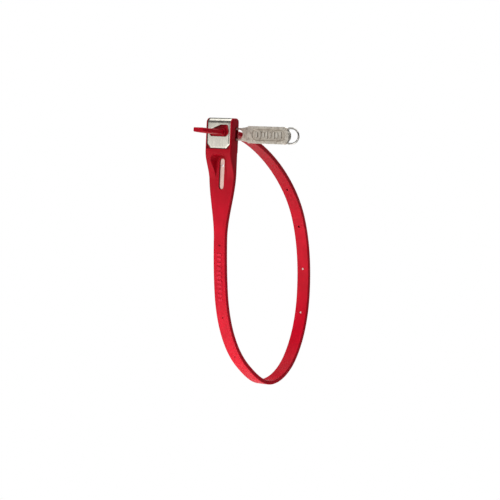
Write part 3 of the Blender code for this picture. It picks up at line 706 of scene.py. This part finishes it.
def crown_case(case):
    """Lets the outer face of the plate fall away towards its edges."""
    bm = bmesh.new()
    bm.from_mesh(case.data)
    bmesh.ops.scale(bm, vec=Vector((1, 1, 1)) / MM, verts=bm.verts)
    corner = CASE_CHAMFER / 2
    planes = []
    for step in CROWN_STEPS:
        diagonal = step / math.sqrt(2)
        planes.append(((0, 0, CASE_FOOT + step), (0, 0, 1)))
        for side in (-1, 1):
            planes.append(((side * (CASE_HALF_WIDTH - step), 0, 0), (1, 0, 0)))
            place = (side * (CASE_HALF_WIDTH - corner - diagonal), 0, CASE_FOOT + corner + diagonal)
            planes.append((place, (side, 0, -1)))
    for place, normal in planes:
        everything = bm.verts[:] + bm.edges[:] + bm.faces[:]
        bmesh.ops.bisect_plane(bm, geom=everything, plane_co=place, plane_no=normal)
    for vert in bm.verts:
        found = case_depth(vert.co)
        if found and found[0] < CROWN_WIDTH:
            drop = CROWN_DROP * (1 - max(found[0], 0.0) / CROWN_WIDTH) ** 2
            vert.co += Vector((0.0, *found[1])) * drop
    bmesh.ops.scale(bm, vec=Vector((MM, MM, MM)), verts=bm.verts)
    bm.to_mesh(case.data)
    bm.free()


def fork_outline():
    """The two prongs and the neck, as (x, z) points."""
    gap, outer = FORK_GAP, FORK_GAP + PRONG
    half = [(FORK_TIP, gap), (FORK_TIP, gap + FORK_TIP_FLAT), (FORK_TIP + FORK_WEDGE, outer)]
    half += [(NECK_X[0] - NECK_LEAD, outer), (NECK_X[1], FOB_HALF_WIDTH - NECK_SHOULDER)]
    half += [(NECK_X[1] + NECK_LAP[0], NECK_LAP[1])]
    root = arc((FORK_ROOT - gap, 0.0), gap, -90, 90, 16)
    return half + [(x, -z) for x, z in half[::-1]] + root


def fob_outline():
    """The flat fob with its bowed end, as (x, z) points."""
    half, nose = FOB_HALF_WIDTH, FOB_NOSE
    left, cut = NECK_X[1] - FOB_SETBACK, FOB_CHAMFER
    radius = (nose**2 + FOB_NOSE_RISE**2) / (2 * FOB_NOSE_RISE)
    swing = math.degrees(math.asin(nose / radius))
    end = arc((FOB_END - radius, 0.0), radius, -swing, swing, 16)
    turn = FOB_CORNER
    middle = (FOB_SHOULDER + FOB_CORNER_SHIFT - turn, half - turn)
    top = [(left + cut, half)] + arc(middle, turn, 90, FOB_CORNER_END, 10)
    top += [(FOB_SHOULDER, nose)]
    return end + top[::-1] + [(left, half - cut), (left, cut - half)] + [(x, -z) for x, z in top]


def make_key():
    fob, fork = FOB_THICK / 2, FORK_THICK / 2
    key = prism("forked_key", fob_outline(), "Y", -fob, fob)
    round_edges(key, FOB_ROUND, segments=4, angle=28)
    blade = prism("key_fork", fork_outline(), "Y", -fork, fork)
    round_edges(blade, FORK_ROUND, angle=28)
    combine(key, blade, "UNION")
    for side in (-1, 1):
        combine(key, make_panel(side))
    combine(key, make_grip(), "UNION")
    bm = bmesh.new()
    depth = RING_HALF_HEIGHT - RING_PIN_DEPTH - RING_BORE_SPARE
    for side in (-1, 1):
        mouth, end = side * (FOB_NOSE + CLEAR), side * depth
        add_cylinder(bm, (RING_PIN_X, 0, mouth), (RING_PIN_X, 0, end), RING_BORE)
    combine(key, new_object("ring_bore_cutter", bm))
    key.data.transform(Matrix.Translation(Vector((0.0, KEY_Y, KEY_Z)) * MM))
    finish_surface(key, angle=40)
    return key


def make_panel(side):
    """The cutter for a sunk panel with leaning walls."""
    face, lean = FOB_THICK / 2, PANEL_LEAN
    mouth, floor = side * (face + PANEL_OVER), side * (face - PANEL_DEPTH)
    bm = bmesh.new()
    floor_verts = add_prism(bm, stadium(*PANEL_X, PANEL_HALF), "Y", mouth, floor)
    middle = sum(PANEL_X) / 2
    for vert in floor_verts:
        vert.co.x += math.copysign(lean, middle - vert.co.x)
        vert.co.z *= 1 - lean / PANEL_HALF
    return new_object("panel_cutter", bm)


def make_grip():
    """Plain upright bars, long and short in turn, that show in both sunk panels."""
    bm = bmesh.new()
    x0, x1 = PANEL_X[0] + PANEL_HALF, PANEL_X[1] - PANEL_HALF
    face = FOB_THICK / 2 - GRIP_SINK
    for i in range(GRIP_COUNT):
        middle = x0 + (x1 - x0) * i / (GRIP_COUNT - 1)
        half_length = GRIP_LENGTH * (1.0 if i % 2 else GRIP_SHORT)
        bar = rounded_box(GRIP_HALF, half_length, GRIP_ROUND)
        add_prism(bm, [(x + middle, z) for x, z in bar], "Y", -face, face)
    return new_object("grip", bm)


def make_ring():
    """The wire bail, a round wire through smooth bends."""
    height, bend = RING_HALF_HEIGHT, RING_BEND
    half = [(RING_PIN_X, height - RING_PIN_DEPTH)]
    half += arc((RING_PIN_X + bend, height - bend), bend, 180, 90, 8)
    reach = RING_REACH - RING_STRAIGHT
    for i in range(RING_STEPS + 1):
        angle = math.radians(90 - 90 * i / RING_STEPS)
        half.append((RING_STRAIGHT + reach * math.cos(angle), height * math.sin(angle)))
    points = half + [(x, -z) for x, z in half[-2::-1]]
    data = bpy.data.curves.new("ring_wire", "CURVE")
    data.dimensions = "3D"
    data.bevel_depth = RING_WIRE * MM
    data.bevel_resolution = 6
    data.use_fill_caps = True
    spline = data.splines.new("POLY")
    spline.points.add(len(points) - 1)
    for target, (x, z) in zip(spline.points, points):
        target.co = (x * MM, KEY_Y * MM, (z + KEY_Z) * MM, 1.0)
    guide = add_object("ring_wire", data)
    ring = add_object("key_bail", own_mesh(guide))
    bpy.data.objects.remove(guide, do_unlink=True)
    finish_surface(ring, angle=40)
    return ring


# ---------------------------------------------------------------- materials


def place_nodes(name):
    """A new node material and its Principled shader."""
    material = bpy.data.materials.new(name)
    material.use_nodes = True
    return material, material.node_tree, material.node_tree.nodes["Principled BSDF"]


def add_node(tree, kind, inputs=None, **settings):
    """A node with its settings, and with inputs set from values or linked from sockets."""
    node = tree.nodes.new(kind)
    for key, value in settings.items():
        setattr(node, key, value)
    for key, value in (inputs or {}).items():
        if isinstance(value, bpy.types.NodeSocket):
            tree.links.new(value, node.inputs[key])
        else:
            node.inputs[key].default_value = value
    return node


def noise(tree, where, scale, detail=3.0, roughness=0.55, stretch=(1, 1, 1)):
    """Noise in object space, in bumps a metre. A stretch below 1 draws it out along an axis."""
    spread = add_node(tree, "ShaderNodeMapping", {"Vector": where, "Scale": stretch})
    inputs = {"Vector": spread.outputs[0], "Scale": scale, "Detail": detail, "Roughness": roughness}
    return add_node(tree, "ShaderNodeTexNoise", inputs).outputs["Fac"]


# The range that a noise's values mostly fill, from narrow to wide.
SOFT_NOISE, WIDE_NOISE = (0.35, 0.65), (0.3, 0.7)


def ramp(tree, value, low, high, start=0.0, end=1.0):
    """Carries low…high to start…end, held at both."""
    inputs = {"Value": value, "From Min": low, "From Max": high, "To Min": start, "To Max": end}
    return add_node(tree, "ShaderNodeMapRange", inputs, clamp=True).outputs[0]


def blend_colour(tree, share, first, second):
    """The first colour, going over to the second as the share goes from 0 to 1."""
    factor, colour_a, colour_b, colour_out = 0, 6, 7, 2
    mix = add_node(tree, "ShaderNodeMix", {factor: share}, data_type="RGBA")
    for key, colour in ((colour_a, first), (colour_b, second)):
        if isinstance(colour, bpy.types.NodeSocket):
            tree.links.new(colour, mix.inputs[key])
        else:
            mix.inputs[key].default_value = (*colour, 1.0)
    return mix.outputs[colour_out]


def hollows(tree, distance, low, high):
    """A mask for painted shade: 1 in corners and hollows up to a distance deep, falling to 0 on
    open faces.
    """
    inputs = {"Distance": distance}
    open_share = add_node(tree, "ShaderNodeAmbientOcclusion", inputs, samples=12).outputs["AO"]
    return ramp(tree, open_share, low, high, 1.0, 0.0)


def add_bump(tree, shader, height, distance, strength, under=None):
    """Bump from a height, on top of the bump under it. Returns the normal."""
    inputs = {"Height": height, "Distance": distance, "Strength": strength}
    if under:
        inputs["Normal"] = under
    normal = add_node(tree, "ShaderNodeBump", inputs).outputs[0]
    tree.links.new(normal, shader.inputs["Normal"])
    return normal


def nylon_material(name, deep, bright, pale):
    """Moulded red nylon: flow marks, a fine mould grain, and painted shade that darkens it towards
    the head and in corners and hollows.
    """
    material, tree, shader = place_nodes(name)
    where = add_node(tree, "ShaderNodeTexCoord").outputs["Object"]
    height = add_node(tree, "ShaderNodeSeparateXYZ", {"Vector": where}).outputs["Z"]
    clouds = noise(tree, where, scale=70, detail=4)
    flow = noise(tree, where, scale=260, detail=3, roughness=0.5, stretch=(1, 0.35, 0.35))
    body = blend_colour(tree, ramp(tree, clouds, *SOFT_NOISE), deep, bright)
    body = blend_colour(tree, ramp(tree, flow, 0.45, 0.75, end=0.35), body, pale)
    # Painted shade: the nylon darkens towards the head, and more in corners and hollows.
    body = blend_colour(tree, ramp(tree, height, *NYLON_HEAD_SHADE_HEIGHTS, end=0.45), body, NYLON_PAINTED_HEAD_SHADE)
    hollow_shade = hollows(tree, distance=0.0035, low=0.40, high=0.95)
    tree.links.new(blend_colour(tree, hollow_shade, body, NYLON_PAINTED_HOLLOW_SHADE), shader.inputs["Base Color"])
    scuffs = noise(tree, where, scale=900, detail=4, roughness=0.6, stretch=(1, 0.3, 0.3))
    gloss = ramp(tree, scuffs, *WIDE_NOISE, start=0.30, end=0.46)
    tree.links.new(gloss, shader.inputs["Roughness"])
    grain = noise(tree, where, scale=3800, detail=2)
    ripple = noise(tree, where, scale=420, detail=2, roughness=0.5)
    under = add_bump(tree, shader, ripple, distance=0.00004, strength=0.25)
    add_bump(tree, shader, grain, distance=0.000012, strength=0.3, under=under)
    shader.inputs["Specular IOR Level"].default_value = 0.16
    return material


def steel_material(name, light, dark, grain_axis, roughness, streak=1400.0, stain=None):
    """Steel with a drawn grain along one axis, soft clouding, scratches and bright edges."""
    material, tree, shader = place_nodes(name)
    where = add_node(tree, "ShaderNodeTexCoord").outputs["Object"]
    edge = add_node(tree, "ShaderNodeNewGeometry").outputs["Pointiness"]
    along = [0.05 if letter == grain_axis else 1.0 for letter in "XYZ"]
    grain = noise(tree, where, streak, detail=4, roughness=0.65, stretch=along)
    clouds = noise(tree, where, scale=160)
    body = blend_colour(tree, ramp(tree, clouds, *SOFT_NOISE), light, dark)
    body = blend_colour(tree, ramp(tree, grain, 0.35, 0.7, end=0.4), body, dark)
    if stain:
        marks = noise(tree, where, scale=420, detail=5, roughness=0.7)
        body = blend_colour(tree, ramp(tree, marks, 0.52, 0.68, end=0.45), body, stain)
    bright = [min(1.0, value * EDGE_BRIGHTER) for value in light]
    worn = ramp(tree, edge, *EDGE_POINTINESS, end=0.6)
    tree.links.new(blend_colour(tree, worn, body, bright), shader.inputs["Base Color"])
    rough = ramp(tree, grain, *WIDE_NOISE, start=roughness - 0.05, end=roughness + 0.07)
    tree.links.new(rough, shader.inputs["Roughness"])
    scratch = noise(tree, where, streak * 1.7, detail=2, roughness=0.5, stretch=along[::-1])
    under = add_bump(tree, shader, grain, distance=0.00001, strength=0.4)
    add_bump(tree, shader, scratch, distance=0.00001, strength=0.15, under=under)
    shader.inputs["Metallic"].default_value = 1.0
    return material


def cast_material():
    """Cast key metal: warm grey with a fine grain, painted shade in the panels' hollows, and dull
    stains in patches.
    """
    material, tree, shader = place_nodes("cast_key_metal")
    where = add_node(tree, "ShaderNodeTexCoord").outputs["Object"]
    edge = add_node(tree, "ShaderNodeNewGeometry").outputs["Pointiness"]
    clouds = noise(tree, where, scale=230, detail=4, roughness=0.6)
    specks = noise(tree, where, scale=2600, detail=2, roughness=0.6)
    body = blend_colour(tree, ramp(tree, clouds, *SOFT_NOISE), CAST_LIGHT, CAST_DARK)
    # Painted shade: darker brown in the hollows of the panels and the grip.
    hollow_shade = hollows(tree, distance=0.0013, low=0.62, high=0.97)
    body = blend_colour(tree, hollow_shade, body, CAST_STAIN_AND_SHADE)
    patches = noise(tree, where, scale=640, detail=4, roughness=0.7)
    body = blend_colour(tree, ramp(tree, patches, 0.52, 0.66, end=0.6), body, CAST_STAIN_AND_SHADE)
    worn = ramp(tree, edge, *EDGE_POINTINESS, end=0.7)
    tree.links.new(blend_colour(tree, worn, body, CAST_WORN), shader.inputs["Base Color"])
    rough = ramp(tree, specks, *WIDE_NOISE, start=0.30, end=0.46)
    tree.links.new(rough, shader.inputs["Roughness"])
    under = add_bump(tree, shader, clouds, distance=0.0001, strength=0.5)
    add_bump(tree, shader, specks, distance=0.00002, strength=0.5, under=under)
    shader.inputs["Metallic"].default_value = 1.0
    return material


def wear(obj, material):
    """Gives an object its first material. Which faces take another one stays as it is."""
    if obj.data.materials:
        obj.data.materials[0] = material
    else:
        obj.data.materials.append(material)


# Deep, bright and pale nylon, on the moulding's face, on its ribs, lighter there as a painted
# highlight, and on its sides, darker there as painted shade.
FACE_REDS = (0.68, 0.002, 0.020), (0.80, 0.003, 0.026), (0.90, 0.006, 0.036)
# Painted highlight: the ribs' reds are lighter and pinker than the face's.
RIB_HIGHLIGHT_REDS = (0.80, 0.012, 0.045), (0.95, 0.02, 0.06), (0.98, 0.05, 0.10)
# Painted shade: the sides' reds are darker than the face's.
SHADED_SIDE_REDS = (0.46, 0.001, 0.013), (0.58, 0.0015, 0.018), (0.68, 0.003, 0.025)
# Painted shade on the nylon: towards the head, and in corners and hollows.
NYLON_PAINTED_HEAD_SHADE, NYLON_PAINTED_HOLLOW_SHADE = (0.30, 0.001, 0.008), (0.22, 0.0005, 0.003)
# The heights, in metres, between which painted shade darkens the nylon towards the head.
NYLON_HEAD_SHADE_HEIGHTS = (-0.06, -0.02)
CAST_LIGHT, CAST_DARK = (0.84, 0.79, 0.70), (0.66, 0.60, 0.52)
# The key's stain colour, used also for painted shade in its hollows.
CAST_STAIN_AND_SHADE, CAST_WORN = (0.22, 0.155, 0.11), (0.88, 0.85, 0.79)
# Light and dark steel. The core's pink is a painted reflection of the red nylon round it, and the
# studs' near-white pink is a painted glint.
PLATE_GREYS = (0.80, 0.78, 0.70), (0.70, 0.68, 0.61)
CORE_REFLECTED_PINKS = (0.98, 0.66, 0.60), (0.86, 0.55, 0.49)
STUD_GLINT_PINKS = (1.0, 0.82, 0.80), (0.94, 0.72, 0.70)
WIRE_GREYS = (0.66, 0.65, 0.62), (0.46, 0.45, 0.43)
LOCK_GREYS, LOCK_STAIN = ((0.42, 0.41, 0.39), (0.28, 0.27, 0.26)), (0.16, 0.13, 0.11)
# The pointiness of a worn edge, from faint to full, and how much brighter its steel is.
EDGE_POINTINESS, EDGE_BRIGHTER = (0.52, 0.60), 1.12


# ---------------------------------------------------------------- the pieces

sheath = make_sheath()
case = make_case()
key = make_key()
ring = make_ring()
studs = make_studs()

plate_steel = steel_material("rolled_plate_steel", *PLATE_GREYS, "Z", roughness=0.20)
# The core's pink is a painted reflection of the red nylon.
red_reflection_core_steel = steel_material("core_strip_steel_painted_reflection", *CORE_REFLECTED_PINKS, "Z", roughness=0.30)
# The studs' near-white pink is a painted glint.
glint_stud_steel = steel_material("painted_glint_stud_steel", *STUD_GLINT_PINKS, "Z", roughness=0.60)
wire_steel = steel_material("drawn_wire_steel", *WIRE_GREYS, "X", roughness=0.16)
lock_steel = steel_material(
    "lock_part_steel", *LOCK_GREYS, "X", roughness=0.36, streak=1800.0, stain=LOCK_STAIN
)
face_nylon = nylon_material("moulded_nylon", *FACE_REDS)
# Lighter rib nylon, a painted highlight.
highlight_rib_nylon = nylon_material("painted_highlight_rib_nylon", *RIB_HIGHLIGHT_REDS)
# Darker side nylon, painted shade.
shaded_side_nylon = nylon_material("painted_shade_side_nylon", *SHADED_SIDE_REDS)
cast = cast_material()

PIECES = (
    (sheath, "strap_loop", "strap_sheath", "red_nylon", face_nylon),
    (case, "strap_loop", "lock_case", "case_steel", plate_steel),
    (key, "key", "key_body", "key_metal", cast),
    (ring, "key_ring", "key_ring", "key_metal", wire_steel),
)
for piece, body, cad_node, slot, finish in PIECES:
    wear(piece, finish)
    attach(piece, body)
    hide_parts(cad_node)
# In the order of RIB_FACES and SHADED_SIDE_FACES.
sheath.data.materials.append(highlight_rib_nylon)
sheath.data.materials.append(shaded_side_nylon)

# The studs are painted glints.
wear(studs, glint_stud_steel)
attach(studs, "strap_loop")

for cad_node, finish in (
    ("steel_core", red_reflection_core_steel),
    ("core_rivet", lock_steel),
    ("lock_frame", lock_steel),
    ("pawl", lock_steel),
    ("pawl_pin", lock_steel),
    ("pawl_spring", lock_steel),
):
    wear(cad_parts[cad_node], finish)


# ---------------------------------------------------------------- floor, light and camera

# Metres here, apart from the lens and sensor in millimetres.
FLOOR_Z, FLOOR_RADIUS, FLOOR_COLOUR, FLOOR_ROUGHNESS = -0.5, 1.1, (0.95, 0.95, 0.94, 1.0), 0.7
AIM = Vector((-0.000314, 0.032488, -0.073926))
CAMERA_AZIMUTH, CAMERA_ELEVATION, CAMERA_ROLL = (math.radians(a) for a in (35.10, 2.87, 2.41))
CAMERA_DISTANCE, CAMERA_LENS, CAMERA_SENSOR = 1.2, 132.9, 36.0
BACKGROUND, AMBIENT = 1.0, 0.13

# (name, azimuth and elevation in degrees, distance from AIM, width, height, radiance, colour)
LIGHTS = (
    ("low_front_panel", 0.0, -34.0, 1.7, 1.9, 1.5, 1.35, (1.0, 0.985, 0.95)),
    ("left_wing", -38.0, -10.0, 1.7, 0.95, 0.9, 0.95, (1.0, 0.985, 0.95)),
    ("right_wing", 10.0, -6.0, 1.7, 1.0, 0.65, 1.25, (1.0, 0.96, 0.93)),
    ("overhead_softbox", -5.0, 80.0, 1.6, 2.4, 1.75, 1.5, (1.0, 0.99, 0.97)),
    ("back_fill", 184.0, 25.0, 1.7, 1.3, 1.5, 2.2, (0.98, 0.99, 1.0)),
    ("low_kicker", -12.0, -52.0, 0.34, 0.3, 0.3, 2.0, (1.0, 0.98, 0.96)),
)


def make_floor():
    bm = bmesh.new()
    bmesh.ops.create_circle(bm, cap_ends=True, segments=96, radius=FLOOR_RADIUS)
    bmesh.ops.translate(bm, vec=(AIM.x, AIM.y, FLOOR_Z), verts=bm.verts)
    mesh = bpy.data.meshes.new("floor")
    bm.to_mesh(mesh)
    bm.free()
    floor = add_object("floor", mesh)
    material, _, shader = place_nodes("pale_floor")
    shader.inputs["Base Color"].default_value = FLOOR_COLOUR
    shader.inputs["Roughness"].default_value = FLOOR_ROUGHNESS
    wear(floor, material)


def towards(azimuth, elevation):
    """The unit vector at an azimuth from -Y towards +X, and an elevation, in radians."""
    flat = math.cos(elevation)
    return Vector((math.sin(azimuth) * flat, -math.cos(azimuth) * flat, math.sin(elevation)))


def make_lights():
    for name, azimuth, elevation, distance, width, height, radiance, colour in LIGHTS:
        data = bpy.data.lights.new(name, "AREA")
        data.shape = "RECTANGLE"
        data.size, data.size_y = width, height
        data.energy, data.color = radiance * math.pi * width * height, colour
        lamp = add_object(name, data)
        direction = towards(math.radians(azimuth), math.radians(elevation))
        lamp.location = AIM + direction * distance
        lamp.rotation_euler = direction.to_track_quat("Z", "Y").to_euler()
        lamp.visible_camera = False


def make_world():
    """White behind the object, and a dim even grey for light and reflections."""
    world = bpy.data.worlds.new("studio")
    world.use_nodes = True
    bpy.context.scene.world = world
    tree = world.node_tree
    seen = add_node(tree, "ShaderNodeLightPath").outputs["Is Camera Ray"]
    strength = ramp(tree, seen, 0.0, 1.0, AMBIENT, BACKGROUND)
    backdrop = tree.nodes["Background"]
    backdrop.inputs["Color"].default_value = (1.0, 1.0, 1.0, 1.0)
    tree.links.new(strength, backdrop.inputs["Strength"])


def make_camera():
    """The camera at the photo's angle, turned a little about its own line of sight."""
    azimuth, roll = CAMERA_AZIMUTH, CAMERA_ROLL
    back = towards(azimuth, CAMERA_ELEVATION)
    level = Vector((math.cos(azimuth), math.sin(azimuth), 0.0))
    upright = back.cross(level)
    right = level * math.cos(roll) + upright * math.sin(roll)
    up = back.cross(right)
    data = bpy.data.cameras.new("camera")
    data.lens, data.sensor_width = CAMERA_LENS, CAMERA_SENSOR
    camera = add_object("camera", data)
    turn = Matrix((right, up, back)).transposed().to_4x4()
    camera.matrix_world = Matrix.Translation(AIM + back * CAMERA_DISTANCE) @ turn
    bpy.context.scene.camera = camera


make_floor()
make_lights()
make_world()
make_camera()
bpy.context.scene.view_settings.view_transform = "Standard"
